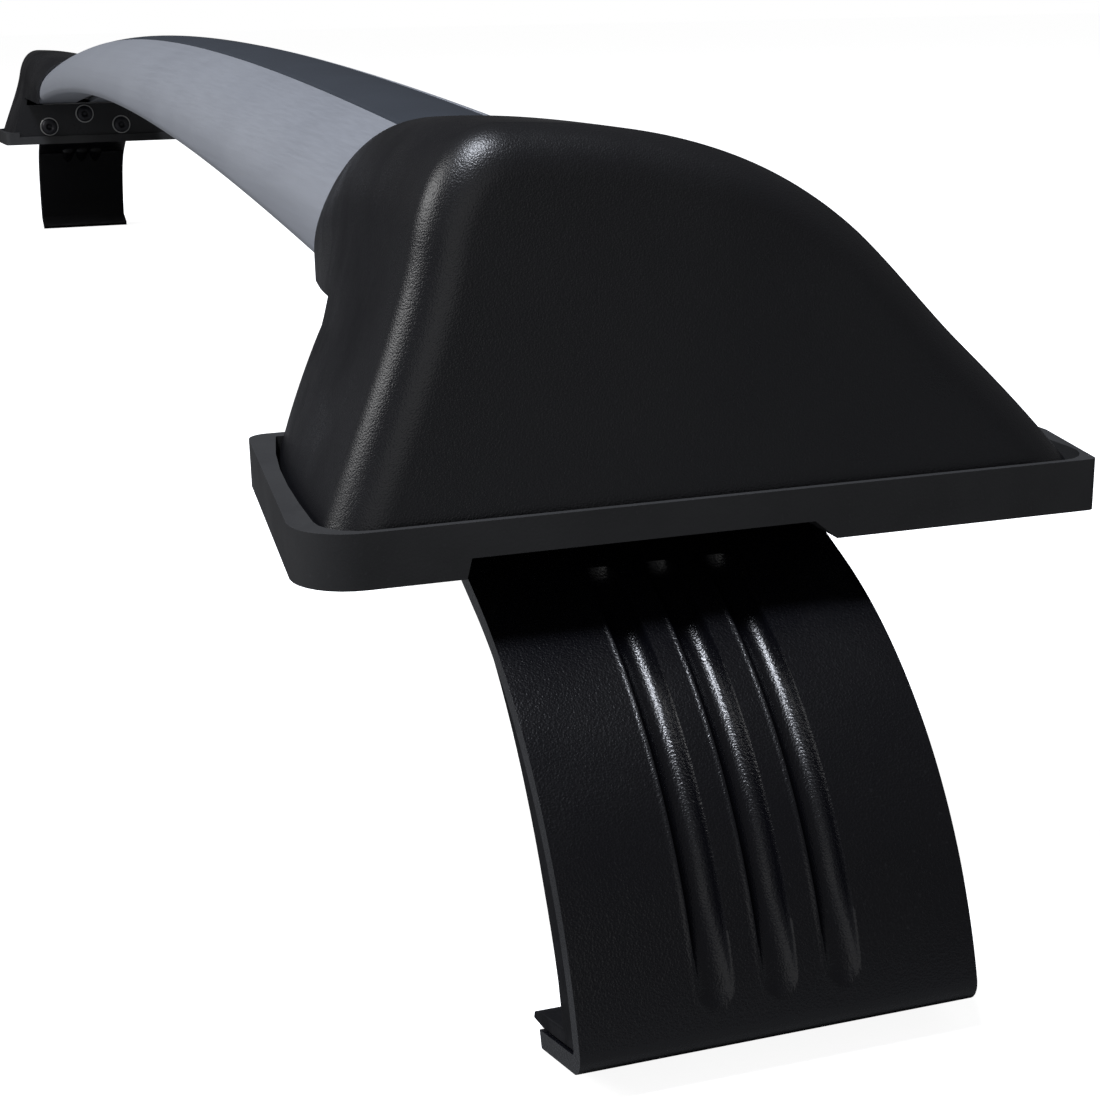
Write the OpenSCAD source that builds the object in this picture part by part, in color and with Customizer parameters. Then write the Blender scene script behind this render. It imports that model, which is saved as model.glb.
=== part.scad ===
// Roof rack crossbar: an arched aluminium bar on two clamp feet.
// Lengths are in millimetres. X runs along the bar, Y along the vehicle, Z is up.
// In the modules y = 0 is the bar's own line and z = 0 is the underside of the rubber pads.
// A foot is drawn on the +X side, and its twin on the other side is a mirror image.

/* [Bar] */
// Width of the bar across its line
bar_w = 60; // [54:1:62]
// Height of the rounded crown, from the widest line to the crest
bar_crown = 22; // [20:0.5:23]
// Depth of the bar below its widest line
bar_belly = 3; // [2.5:0.5:4]
// Wall of the extrusion
bar_wall = 2; // [1.6:0.1:2.4]
// Radius of the arch along the crest
arch_r = 6770; // [6000:10:9000]
// Height of the crest over the pads' underside, where the feet's inner walls meet the bar
foot_crest = 51.2881; // [50.2881:0.5:53.2881]
// Distance from mid span to each end of the bar
bar_reach = 545; // [540:1:548]
// Width of the rubber strip on the crest
strip_w = 21; // [18:0.5:23]
// Width of the slot mouth under the strip
slot_w = 11; // [9:0.5:12]
// Width of the slot mouth under the bar
under_slot_w = 9; // [7:0.5:10]

/* [Cover] */
// How far the bar reaches into each foot
foot_grip = 42; // [36:1:46]
// Depth of a foot along the bar, from inner wall to outer face
foot_d = 63; // [61:1:66]
// Length of the collar that reaches inboard along the bar
collar_l = 42; // [30:1:50]
// Height of the cover's top over the pads' underside
fin_top = 60; // [59:0.5:62]
// Distance from the bar's line to the steep end of the cover
heel_y = 52; // [50:0.5:54]
// Distance from the bar's line to the long end of the cover
toe_y = 66; // [64:0.5:68]
// Lean of the outer face over its height
face_lean = 4; // [0:0.5:5]
// Wall of the moulded cover
cover_wall = 2.6; // [2:0.1:3]
// Thickness of the collar's edge at its mouth
mouth_lip = 1.3; // [1:0.1:1.6]
// Clearance between the bar and the moulding
bar_gap = 0.4; // [0.3:0.1:0.6]
// Radius of the edge between the cover's outer face and its sides
edge_r = 7; // [5:0.5:8]

/* [Pad] */
// Height of the pad's rim round the cover
rim_h = 8; // [7:0.5:10]
// Thickness of the rim
rim_t = 2.8; // [2:0.1:3.5]
// Thickness of the pad under the foot
pad_t = 5; // [4.6:0.1:5.4]
// Depth of the recess in the pad's underside that the strap slides in
recess_h = 3.3; // [3.1:0.1:3.5]

/* [Clamp] */
// Width of the clamp strap
strap_w = 58; // [54:1:62]
// Thickness of the strap steel
strap_t = 2.6; // [2.2:0.1:2.8]
// Outer radius of the strap's long curve
strap_r = 71; // [68:1:74]
// Length of the hook's leg
hook_l = 15; // [12:0.5:16]
// Width of a pressed groove
groove_w = 5; // [4.4:0.2:6]
// Depth of a pressed groove
groove_d = 2; // [1.5:0.1:2.4]
// Spacing of the grooves
groove_pitch = 9.3; // [9:0.1:11]
// Thickness of the rubber liner where it is thickest
liner_t = 5.5; // [4.5:0.1:6]
// Travel of the strap from tight to slack
strap_travel = 10; // [5:1:10]

/* [Bracket and fasteners] */
// Thickness of the bracket steel
plate_t = 3; // [2.5:0.1:3.5]
// Distance from the strap's edges to the axes of the two clamp bolts
ear_edge = 5.5; // [4.5:0.5:6.5]
// Height of the clamp bolts over the pads' underside
bolt_z = 11.2; // [11:0.1:12]
// Height of the cover screw over the pads' underside
screw_z = 18.9; // [18:0.1:19.5]
// Nominal diameter of bolts and screws
bolt_d = 6; // [5:0.5:6]
// Length of a clamp bolt's shank
bolt_l = 36; // [34:1:40]
// Radial running clearance of the clamp bolts
bolt_gap = 0.06; // [0.03:0.01:0.1]
// Spacing of the two bolts that hold the bar
bar_bolt_pitch = 14; // [13:1:16]

/* [Hidden] */
$fn = 64;

touch = 0.1;           // gap between pieces that bear on each other
bar_h = bar_crown + bar_belly;
foot_in = bar_reach - foot_grip;
crest_z = foot_crest + arch_r - sqrt(arch_r * arch_r - foot_in * foot_in);
foot_out = foot_in + foot_d;
bolt_pitch = strap_w - 2 * ear_edge;
mouth_x = foot_in - collar_l;
strap_top = recess_h - 0.6;

// Height of the crest, and of the bar's underside, at a distance x from mid span
function crest(x) = crest_z - arch_r + sqrt(arch_r * arch_r - x * x);
function belly(x) = crest_z - arch_r + sqrt(pow(arch_r - bar_h, 2) - x * x);
function lerp(a, b, t) = a + (b - a) * t;
function bezier(p, t) = pow(1 - t, 3) * p[0] + 3 * t * pow(1 - t, 2) * p[1]
                        + 3 * t * t * (1 - t) * p[2] + pow(t, 3) * p[3];
function arc(c, r, a0, a1, n) = [for (i = [0 : n]) let (a = lerp(a0, a1, i / n))
                                 c + r * [cos(a), sin(a)]];

// Lowest point of the hooks, which the whole rack stands on
curve_top = 68.8;
run_end = [foot_out - 9.1, -6.3];            // where the strap's long curve begins
curve_c = run_end - strap_r * [cos(curve_top), sin(curve_top)];
curve_end = 14;
hook_slope = 16.6;
fold_r = strap_t + 0.8;
fold_c = curve_c + (strap_r - fold_r) * [cos(curve_end), sin(curve_end)];
leg_dir = [-cos(hook_slope), -sin(hook_slope)];
leg_up = [-sin(hook_slope), cos(hook_slope)];
leg_end = fold_c - fold_r * leg_up + hook_l * leg_dir;
base_z = -leg_end[1];

// The bar's line lies off the middle of the feet, because their covers are longer on one side
pad_front = toe_y + rim_t + 1.2;
pad_rear = heel_y + rim_t + 1.1;
line_y = (pad_rear - pad_front) / 2;

module placed() {
    translate([0, line_y, base_z]) children();
}

// side is 1 for the right foot and -1 for the left one
module on_side(side) {
    placed() mirror([side < 0 ? 1 : 0, 0, 0]) children();
}

// The bar

// Half an ellipse with its top at the origin's height and its widest points bar_crown below
function crown(half_w, h, n) = [for (i = [0 : n]) let (a = 180 * i / n)
                                [half_w * cos(a), h * sin(a) - bar_crown]];

// Squarish belly that closes the section below its widest points
function belly_line(half_w, h) =
    let (r = min(h, half_w / 4))
    concat(arc([-half_w + r, -bar_crown - h + r], r, 180, 270, 6),
           arc([half_w - r, -bar_crown - h + r], r, 270, 360, 6));

module bar_outline(inset = 0) {
    polygon(concat(crown(bar_w / 2 - inset, bar_crown - inset, 48),
                   belly_line(bar_w / 2 - inset, bar_belly - inset)));
}

// Depth of the seat that the strip lies in, below the crest
strip_seat = bar_crown * (1 - sqrt(1 - pow(strip_w / bar_w, 2))) + 0.2;
slot_lip = 2.4;         // thickness of the lips over the upper slot
slot_in_w = slot_w + 9; // width of the upper slot behind its lips
slot_in_h = 5;
under_lip = 2.4;        // thickness of the lips under the lower slot
under_in_w = under_slot_w + 7.6;
under_in_h = 6;

// Everything that is hollow in the section, drawn with the crest at zero
module bar_hollows() {
    slot_top = -strip_seat - slot_lip;
    slot_floor = slot_top - slot_in_h;
    under_floor = -bar_h + under_lip;
    under_roof = under_floor + under_in_h;
    translate([-strip_w / 2, -strip_seat]) square([strip_w, strip_seat + 1]);
    translate([-slot_w / 2, slot_top - 1]) square([slot_w, slot_lip + 2]);
    translate([-slot_in_w / 2, slot_floor]) square([slot_in_w, slot_in_h]);
    translate([-under_slot_w / 2, -bar_h - 1]) square([under_slot_w, under_lip + 2]);
    translate([-under_in_w / 2, under_floor]) square([under_in_w, under_in_h]);
    difference() {
        bar_outline(bar_wall);
        translate([-slot_in_w / 2 - bar_wall, slot_floor - bar_wall])
            square([slot_in_w + 2 * bar_wall, bar_h]);
        translate([-under_in_w / 2 - bar_wall, -bar_h - 1])
            square([under_in_w + 2 * bar_wall, 1 + under_lip + under_in_h + bar_wall]);
        translate([-bar_wall / 2, -bar_h]) square([bar_wall, bar_h]);
    }
}

// Bends a section along the arch, from one end to the other
module along_arch(reach) {
    half = asin(reach / arch_r);
    translate([0, 0, crest_z - arch_r]) rotate([90, 0, 0]) rotate([0, 0, 90 - half])
        rotate_extrude(angle = 2 * half, $fn = 360)
            translate([arch_r, 0]) rotate(-90) children();
}

module crossbar() {
    color("silver") placed() along_arch(bar_reach) difference() {
        bar_outline();
        bar_hollows();
    }
}

module top_strip() {
    fit = 0.25;
    half = strip_w / 2 - fit;
    edge = bar_crown * (1 - sqrt(1 - pow(half * 2 / bar_w, 2)));
    top = [for (i = [0 : 8]) let (y = lerp(half, -half, i / 8))
           [y, bar_crown * (sqrt(1 - pow(y * 2 / bar_w, 2)) - 1) - 0.1]];
    stem = slot_w / 2 - fit;
    barb = stem + 1.8;
    stem_end = -strip_seat - slot_lip;
    color("darkslategray") placed() along_arch(bar_reach - 2) polygon(concat(top, [
        [-half, -strip_seat + touch], [-stem, -strip_seat + touch],
        [-stem, stem_end - fit], [-barb, stem_end - fit], [-stem, stem_end - 2.6],
        [stem, stem_end - 2.6], [barb, stem_end - fit], [stem, stem_end - fit],
        [stem, -strip_seat + touch], [half, -strip_seat + touch]]));
}

// The cover's outlines, as [y, z] points from its steep end over the top to its long end

fin_steps = [7, 8, 11, 4, 5];
fin_count = 35;
flank_top = [-heel_y + 15, fin_top - 15.5];
shoulder_end = [-heel_y + 29, fin_top];
slope_top = [toe_y - 36.5, fin_top - 17];
slope_mid = [toe_y - 20.5, fin_top - 33.5];

fin_curves = [
    [[-heel_y, pad_t], [-heel_y + 6.5, 22], [-heel_y + 12.5, fin_top - 26.5], flank_top],
    [flank_top, flank_top + [1.8, 8.5], shoulder_end - [8, -0.3], shoulder_end],
    [shoulder_end, shoulder_end + [20, -0.5], slope_top + [-15, 13.2], slope_top],
    [slope_top, slope_top + [6, -5.5], slope_mid + [-5.5, 5.4], slope_mid],
    [slope_mid, slope_mid + [7, -6.7], [toe_y - 6.5, pad_t + 8], [toe_y, pad_t]]];

function fin_line() = concat([fin_curves[0][0]],
    [for (k = [0 : 4]) for (i = [1 : fin_steps[k]]) bezier(fin_curves[k], i / fin_steps[k])]);

// The same number of points round the bar at the collar's mouth, off by a clearance
function mouth_line(off) =
    let (a = bar_w / 2 + off, b = bar_crown + off, zc = crest(mouth_x) - bar_crown,
         ring = function (a0, a1, n) [for (i = [1 : n]) let (g = lerp(a0, a1, i / n))
                                      [a * cos(g), zc + b * sin(g)]])
    concat([for (i = [0 : fin_steps[0]]) [-a, lerp(pad_t, zc, i / fin_steps[0])]],
           ring(180, 128, fin_steps[1]), ring(128, 52, fin_steps[2]), ring(52, 0, fin_steps[3]),
           [for (i = [1 : fin_steps[4]]) [a, lerp(zc, pad_t, i / fin_steps[4])]]);

// Moves a line of points inwards by d, and keeps its two ends on the pad
function inset(line, d) =
    let (n = len(line) - 1)
    [for (i = [0 : n])
        let (t = line[min(n, i + 1)] - line[max(0, i - 1)],
             q = line[i] + d * [t[1], -t[0]] / norm(t))
        [q[0], i == 0 || i == n ? pad_t : q[1]]];

// The collar flares from the bar's outline at the mouth into the fin, and soonest low on the heel
function flare(x, i) =
    let (t = min(1, (x - mouth_x) / (foot_out - mouth_x)),
         low = max(0, 1 - pow(i / (0.55 * fin_steps[0]), 2)),
         k = lerp(2, 4, i / fin_count) + 0.85 * low)
    1 - pow(1 - t, k);

function skin_row(x, wall, off) =
    let (m = mouth_line(off), f = inset(fin_line(), wall))
    [for (i = [0 : fin_count]) lerp(m[i], f[i], flare(x, i))];

// Rows of the skin: along the collar and foot, round the outer edge, then down the outer face
side_rows = 9;
edge_rows = 5;
face_rows = 3;
last_row = side_rows + edge_rows + face_rows;

function lean(x, z) = face_lean * (z - pad_t) / (fin_top - pad_t)
                      * (x - mouth_x) / (foot_out - mouth_x);
function leant(x, p) = [x - lean(x, p[1]), p[0], p[1]];

function skin(wall, off) =
    let (r = edge_r - wall, x_face = foot_out - wall, x_edge = foot_out - edge_r,
         edge = skin_row(x_edge, wall, off))
    [for (row = [0 : last_row])
        row <= side_rows
        ? let (x = lerp(mouth_x, x_edge, row / side_rows))
          [for (p = skin_row(x, wall, off)) leant(x, p)]
        : let (a = min(90, 90 * (row - side_rows) / edge_rows),
               x = x_edge + r * sin(a),
               sink = max(0, row - side_rows - edge_rows) / face_rows,
               line = inset(edge, r * (1 - cos(a))))
          [for (p = line) leant(x, [p[0], lerp(p[1], pad_t, sink)])]];

// Index of a grid point. The rows down the face share their end points on the pad
function at(layer, row, i) =
    layer * (last_row + 1) * (fin_count + 1)
    + ((i == 0 || i == fin_count) ? min(row, side_rows + edge_rows) : row) * (fin_count + 1) + i;

function tri(a, b, c) = a == b || b == c || a == c ? [] : [[a, b, c]];
function quad(a, b, c, d) = concat(tri(a, b, c), tri(a, c, d));

function shell_faces() = let (n = fin_count, m = last_row) concat(
    [for (r = [0 : m - 1]) for (i = [0 : n - 1])
        each quad(at(0, r, i), at(0, r, i + 1), at(0, r + 1, i + 1), at(0, r + 1, i))],
    [for (r = [0 : m - 1]) for (i = [0 : n - 1])
        each quad(at(1, r, i), at(1, r + 1, i), at(1, r + 1, i + 1), at(1, r, i + 1))],
    [for (i = [0 : n - 1])
        each quad(at(0, 0, i), at(1, 0, i), at(1, 0, i + 1), at(0, 0, i + 1))],
    [for (i = [0 : n - 1])
        each quad(at(0, m, i), at(0, m, i + 1), at(1, m, i + 1), at(1, m, i))],
    [for (r = [0 : side_rows + edge_rows - 1])
        each quad(at(0, r, 0), at(0, r + 1, 0), at(1, r + 1, 0), at(1, r, 0))],
    [for (r = [0 : side_rows + edge_rows - 1])
        each quad(at(0, r, n), at(1, r, n), at(1, r + 1, n), at(0, r + 1, n))]);

module cover_skin() {
    points = concat([for (row = skin(0, bar_gap + mouth_lip)) each row],
                    [for (row = skin(cover_wall, bar_gap)) each row]);
    polyhedron(points, shell_faces(), convexity = 6);
}

// Moulded wall that closes the cover's inner side under the bar
wall_top = belly(foot_in + cover_wall) - bar_gap;

module inner_wall() {
    line = inset(skin_row(foot_in + cover_wall / 2, 0, bar_gap + mouth_lip), cover_wall / 2);
    translate([foot_in, 0, 0]) rotate([90, 0, 90]) linear_extrude(cover_wall)
        polygon([for (p = line) if (p[1] < wall_top) p]);
}

// Bore along X through the foot's inner walls
module cross_bore(y, z, r, x0, x1) {
    translate([x0, y, z]) rotate([0, 90, 0]) cylinder(r = r, h = x1 - x0);
}

module cover() {
    bore_r = bolt_d / 2 + 0.3;
    lip_z = belly(mouth_x) - mouth_lip - bar_gap;
    difference() {
        union() {
            difference() {
                cover_skin();
                // Below the collar the inner side of the foot is cut back to its wall
                rotate([90, 0, 0]) linear_extrude(4 * heel_y, center = true)
                    polygon([[mouth_x - 5, lip_z], [mouth_x, lip_z], [foot_in, lip_z + 3],
                             [foot_in, -1], [mouth_x - 5, -1]]);
            }
            inner_wall();
        }
        for (y = [-1, 1] * bolt_pitch / 2)
            cross_bore(y, bolt_z, bore_r, foot_in - 1, foot_in + cover_wall + 1);
        cross_bore(0, screw_z, bore_r, foot_in - 1, foot_in + cover_wall + 1);
    }
}

module right_cover() { color("#26262b") on_side(1) cover(); }
module left_cover() { color("#26262b") on_side(-1) cover(); }

// The pad

// Plan of the cover where it stands on the pad
foot_rows = [for (row = skin(0, bar_gap + mouth_lip))
             if (row[0][0] >= foot_in && row[0][0] > 0) row];

module foot_plan() {
    x_in = foot_in;
    start = skin_row(x_in, 0, bar_gap + mouth_lip);
    left = [for (k = [0 : len(foot_rows) - face_rows - 1]) [foot_rows[k][0][0], foot_rows[k][0][1]]];
    right = [for (k = [len(foot_rows) - face_rows - 1 : -1 : 0])
             [foot_rows[k][fin_count][0], foot_rows[k][fin_count][1]]];
    polygon(concat([[x_in, start[0][0]]], left, right, [[x_in, start[fin_count][0]]]));
}

// Plan of the pad: one round corner at the steep end, a square one at the long end
module pad_plan() {
    r = 9;
    x_out = foot_out + rim_t / 2;
    polygon(concat(arc([foot_in + 0.3, -heel_y + 3.4], 3.5, 180, 266, 6),
                   arc([x_out - r, -pad_rear + r], r, 270, 360, 8),
                   arc([x_out - 1.2, pad_front - 5.4], 1.2, 0, 78, 4),
                   [[foot_out - 19, pad_front - 0.2]],
                   arc([foot_in + 0.3, pad_front - 3.5], 3.5, 90, 180, 6)));
}

module base_pad() {
    fit = 0.3;
    strap_room = strap_w / 2 + 0.8;
    window_in = foot_in + cover_wall + plate_t + 1;
    window_out = foot_out - 22;
    difference() {
        linear_extrude(rim_h) pad_plan();
        translate([0, 0, pad_t]) linear_extrude(rim_h) offset(r = fit, $fn = 48) foot_plan();
        // Between its corners the rim is low on the inner side, so that a key reaches the bolts
        translate([foot_in - 10, -heel_y + 9, pad_t]) cube([10, heel_y + toe_y - 18, rim_h]);
        // Window that the strap's ears pass up through
        translate([window_in, -strap_room, -1])
            cube([window_out - window_in, 2 * strap_room, rim_h]);
        // Recess that the strap's flat slides in
        translate([window_in, -strap_room, -1])
            cube([foot_out - 13 - window_in, 2 * strap_room, recess_h + 1]);
        // Shallow notch in the outer edge, above the strap
        translate([foot_out - 14, 0, 0]) rotate([90, 0, 90]) linear_extrude(20)
            polygon([[-strap_w / 2 - 4.3, -1], [-strap_w / 2 - 3.3, recess_h - 0.4],
                     [strap_w / 2 - 10, recess_h - 0.4], [strap_w / 2 - 5.2, -1]]);
    }
}

module right_base_pad() { color("#1b1b1c") on_side(1) base_pad(); }
module left_base_pad() { color("#1b1b1c") on_side(-1) base_pad(); }

// The bracket that carries the bar

plate_in = foot_in + cover_wall + touch;     // inner face of its upright plate
plate_out = foot_out - 15;                   // outer face of its rear leg
plate_z = pad_t + touch;
saddle_x = (plate_in + plate_out) / 2;
saddle_tilt = asin(saddle_x / arch_r);
saddle_half = bar_w / 2 - 4;

// Puts things on the bar's underside, square to it, at a place along the saddle
module on_belly(dx = 0) {
    translate([saddle_x, 0, belly(saddle_x)]) rotate([0, saddle_tilt, 0])
        translate([dx, 0, 0]) children();
}

module foot_bracket() {
    window_x = plate_in + plate_t;
    window_l = plate_out - plate_t - 8 - window_x;
    window_half = strap_w / 2 + 2;
    saddle_l = plate_out - plate_in;
    base_rear = heel_y - 10;
    base_front = toe_y - 19.5;
    difference() {
        union() {
            // Base plate on the pad
            translate([plate_in, -base_rear, plate_z])
                cube([plate_out - plate_in + plate_t, base_rear + base_front, plate_t]);
            // Upright plate behind the cover's inner wall
            translate([plate_in, 0, 0]) rotate([90, 0, 90]) linear_extrude(plate_t)
                polygon([[-base_rear, plate_z], [base_front, plate_z],
                         [bar_w / 2 + 7, wall_top - plate_t], [-bar_w / 2 - 4, wall_top - plate_t]]);
            // Saddle under the bar
            on_belly() translate([-saddle_l / 2, -saddle_half, -plate_t - touch])
                cube([saddle_l, 2 * saddle_half, plate_t]);
            // Rear leg
            translate([plate_out - plate_t, -saddle_half, plate_z])
                cube([plate_t, 2 * saddle_half, belly(plate_out) - plate_z - plate_t / 2]);
        }
        translate([window_x, -window_half, 0]) cube([window_l, 2 * window_half, plate_z + 6]);
        for (y = [-1, 1] * bolt_pitch / 2)
            cross_bore(y, bolt_z, bolt_d / 2 + bolt_gap, plate_in - 1, plate_in + plate_t + 1);
        cross_bore(0, screw_z, bolt_d / 2 + bolt_gap, plate_in - 1, plate_in + plate_t + 1);
        for (dx = [-1, 1] * bar_bolt_pitch / 2)
            on_belly(dx) translate([0, 0, -2 * plate_t])
                cylinder(d = bolt_d + 0.6, h = 3 * plate_t);
    }
}

module right_foot_bracket() { color("dimgray") on_side(1) foot_bracket(); }
module left_foot_bracket() { color("dimgray") on_side(-1) foot_bracket(); }

// The clamp strap: ears, flat, a bend, a straight run, the long curve, a fold and the hook's leg

bend_r = 12;
ear_x = plate_in + plate_t + 7;
ear_bend = 2;
ear_top = bolt_z + 6.2;
ear_c = [ear_x + strap_t + ear_bend, strap_top + ear_bend];
run_start_z = strap_top - bend_r * (1 - sin(curve_top));
run_l = (run_start_z - run_end[1]) / cos(curve_top);
bend_c = [run_end[0] - run_l * sin(curve_top) - bend_r * cos(curve_top), strap_top - bend_r];
leg_angle = hook_slope - 90;
curve_steps = 22;

function strap_line() = concat(
    [[ear_x, ear_top], [ear_x + strap_t, ear_top]],
    arc(ear_c, ear_bend, 180, 270, 4),
    arc(bend_c, bend_r, 90, curve_top, 3),
    arc(curve_c, strap_r, curve_top, curve_end, curve_steps),
    arc(fold_c, fold_r, curve_end - 8, leg_angle, 8),
    [leg_end, leg_end + strap_t * leg_up],
    arc(fold_c, fold_r - strap_t, leg_angle, curve_end, 4),
    arc(curve_c, strap_r - strap_t, curve_end + 3, curve_top, curve_steps),
    arc(bend_c, bend_r - strap_t, curve_top, 90, 3),
    arc(ear_c, ear_bend + strap_t, 270, 180, 6));

groove_r = (pow(groove_w / 2, 2) + groove_d * groove_d) / (2 * groove_d);
groove_out = groove_r - groove_d;            // centre of the groove's round, outside the strap
groove_top = 70;
groove_end = 21;
groove_y = [for (k = [-1 : 1]) k * groove_pitch - 0.1];

// A pressed groove follows the long curve
module groove(y) {
    translate([curve_c[0], y, curve_c[1]]) rotate([90, 0, 0])
        rotate([0, 0, groove_end]) rotate_extrude(angle = groove_top - groove_end)
            translate([strap_r + groove_out, 0]) circle(groove_r);
}

// Line round the three ribs that the grooves raise on the strap's inner side
function rib_line(r) =
    let (foot = strap_r - strap_t / 2, reach = groove_out + strap_t / 2,
         a = acos(reach / r), half = groove_pitch / 2,
         b = asin(min(1, half / r)))
    concat([[foot, groove_y[2] + r * sin(a)]],
           [for (y = [groove_y[2], groove_y[1], groove_y[0]])
            let (a0 = y == groove_y[2] ? a : b, a1 = y == groove_y[0] ? -a : -b)
            for (i = [0 : 8]) let (g = lerp(a0, a1, i / 8))
                [strap_r + groove_out - r * cos(g), y + r * sin(g)]]);

module ribs(r, over) {
    translate([curve_c[0], 0, curve_c[1]]) rotate([90, 0, 0])
        rotate([0, 0, groove_end - over])
            rotate_extrude(angle = groove_top - groove_end + 2 * over)
                polygon([for (p = rib_line(r)) [p[0], -p[1]]]);
}

module upright_slab(points, w) {
    rotate([90, 0, 0]) linear_extrude(w, center = true) polygon(points);
}

module clamp_strap() {
    bore = bolt_d / 2 + bolt_gap;
    difference() {
        union() {
            upright_slab(strap_line(), strap_w);
            ribs(groove_r + strap_t, 5);
        }
        for (y = groove_y) groove(y);
        // Gap between the two ears
        translate([ear_x - 1, -bolt_pitch / 2 + 9, strap_top + ear_bend + 1])
            cube([strap_t + 2, bolt_pitch - 18, ear_top]);
        for (y = [-1, 1] * bolt_pitch / 2)
            cross_bore(y, bolt_z, bore, ear_x - 1, ear_x + strap_t + 1);
    }
}

module right_clamp_strap() { color("#303034") on_side(1) clamp_strap(); }
module left_clamp_strap() { color("#303034") on_side(-1) clamp_strap(); }

// The liner: a wedge of rubber on the strap's inner face that runs on over the hook's leg

liner_out = strap_r - strap_t - touch;
liner_top = 67;
leg_t = 2.2;
tip_l = 4.5;

// Thickness of the liner where its outer face stands at angle a: nothing at the top
function liner_depth(a) = liner_t * min(1, (cos(a - 20) - cos(liner_top - 20)) / (1 - cos(liner_top - 20))
                                        + 0.06);

function liner_line() =
    let (toe = leg_end + (strap_t + touch) * leg_up,
         tip = toe + tip_l * leg_dir,
         knee = toe + leg_t * leg_up - (hook_l - 5) * leg_dir)
    concat([for (i = [0 : 16]) let (a = lerp(liner_top, curve_end + 4, i / 16))
            curve_c + liner_out * [cos(a), sin(a)]],
           [fold_c + [0.5, 0.9] - (touch + 0.2) * [1, 0], fold_c - (fold_r - strap_t - touch) * leg_up],
           [toe, tip + [0, 0.6], tip + [0.4, 1.8], toe + leg_t * leg_up],
           [knee],
           [for (i = [0 : 16]) let (a = lerp(curve_end + 7, liner_top, i / 16))
            curve_c + (liner_out - liner_depth(a)) * [cos(a), sin(a)]]);

module strap_liner() {
    difference() {
        upright_slab(liner_line(), strap_w - 1);
        ribs(groove_r + strap_t + 0.3, 5.4);
    }
}

module right_strap_liner() { color("#19191a") on_side(1) strap_liner(); }
module left_strap_liner() { color("#19191a") on_side(-1) strap_liner(); }

// Fasteners

nut_w = 10;
nut_t = 5;
washer_t = 1.2;
washer_r = 5.9;
head_r = 5.25;
head_h = 3.3;
socket_w = 4;

function hex_r(across_flats) = across_flats / sqrt(3);

module clamp_nuts() {
    for (y = [-1, 1] * bolt_pitch / 2)
        difference() {
            translate([ear_x + strap_t, y, bolt_z]) rotate([0, 90, 0])
                cylinder(r = hex_r(nut_w), h = nut_t, $fn = 6);
            cross_bore(y, bolt_z, bolt_d / 2 + bolt_gap, ear_x, ear_x + strap_t + nut_t + 1);
        }
}

module right_clamp_nuts() { color("darkgray") on_side(1) clamp_nuts(); }
module left_clamp_nuts() { color("darkgray") on_side(-1) clamp_nuts(); }

// Round-headed screw along X with a hexagon socket, its head's underside at the origin
module button_screw(length) {
    dome_r = (head_r * head_r + head_h * head_h) / (2 * head_h);
    rotate([0, 90, 0]) difference() {
        union() {
            cylinder(d = bolt_d, h = length);
            intersection() {
                translate([0, 0, -head_h]) cylinder(r = head_r, h = head_h);
                translate([0, 0, dome_r - head_h]) sphere(dome_r);
            }
        }
        translate([0, 0, -head_h - 1]) cylinder(r = hex_r(socket_w), h = 3, $fn = 6);
    }
}

head_x = foot_in - washer_t - touch;

module clamp_bolt(y) {
    translate([head_x - touch / 2, y, bolt_z]) button_screw(bolt_l);
}

module right_clamp_bolt_front() { color("gray") on_side(1) clamp_bolt(-bolt_pitch / 2); }
module right_clamp_bolt_rear() { color("gray") on_side(1) clamp_bolt(bolt_pitch / 2); }
module left_clamp_bolt_front() { color("gray") on_side(-1) clamp_bolt(-bolt_pitch / 2); }
module left_clamp_bolt_rear() { color("gray") on_side(-1) clamp_bolt(bolt_pitch / 2); }

// Washers under the two clamp bolts and the cover screw
module bolt_washers() {
    for (p = [[-bolt_pitch / 2, bolt_z], [bolt_pitch / 2, bolt_z], [0, screw_z]])
        difference() {
            cross_bore(p[0], p[1], washer_r, head_x, head_x + washer_t);
            cross_bore(p[0], p[1], bolt_d / 2 + 0.2, head_x - 1, head_x + washer_t + 1);
        }
}

module right_bolt_washers() { color("lightgray") on_side(1) bolt_washers(); }
module left_bolt_washers() { color("lightgray") on_side(-1) bolt_washers(); }

module cover_screw() {
    translate([head_x, 0, screw_z]) button_screw(12);
}

module right_cover_screw() { color("gray") on_side(1) cover_screw(); }
module left_cover_screw() { color("gray") on_side(-1) cover_screw(); }

// Plate with two threaded holes that lies in the bar's lower slot
bar_bolt_l = 12;

module nut_plate() {
    fit = 0.4;
    on_belly() difference() {
        translate([-bar_bolt_pitch, -under_in_w / 2 + fit, under_lip + touch])
            cube([2 * bar_bolt_pitch, under_in_w - 2 * fit, under_in_h - 1.6]);
        for (dx = [-1, 1] * bar_bolt_pitch / 2)
            translate([dx, 0, 0]) cylinder(d = bolt_d + 2 * bolt_gap, h = bar_h);
    }
}

module right_nut_plate() { color("darkgray") on_side(1) nut_plate(); }
module left_nut_plate() { color("darkgray") on_side(-1) nut_plate(); }

// The bolts come up from below through washer, saddle and slot mouth into the nut plate
module bar_bolts() {
    head = 4;
    seat = -plate_t - touch - washer_t - touch;
    for (dx = [-1, 1] * bar_bolt_pitch / 2)
        on_belly(dx) translate([0, 0, seat]) {
            cylinder(d = bolt_d, h = bar_bolt_l);
            translate([0, 0, -head]) cylinder(r = hex_r(nut_w), h = head, $fn = 6);
        }
}

module right_bar_bolts() { color("gray") on_side(1) bar_bolts(); }
module left_bar_bolts() { color("gray") on_side(-1) bar_bolts(); }

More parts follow.
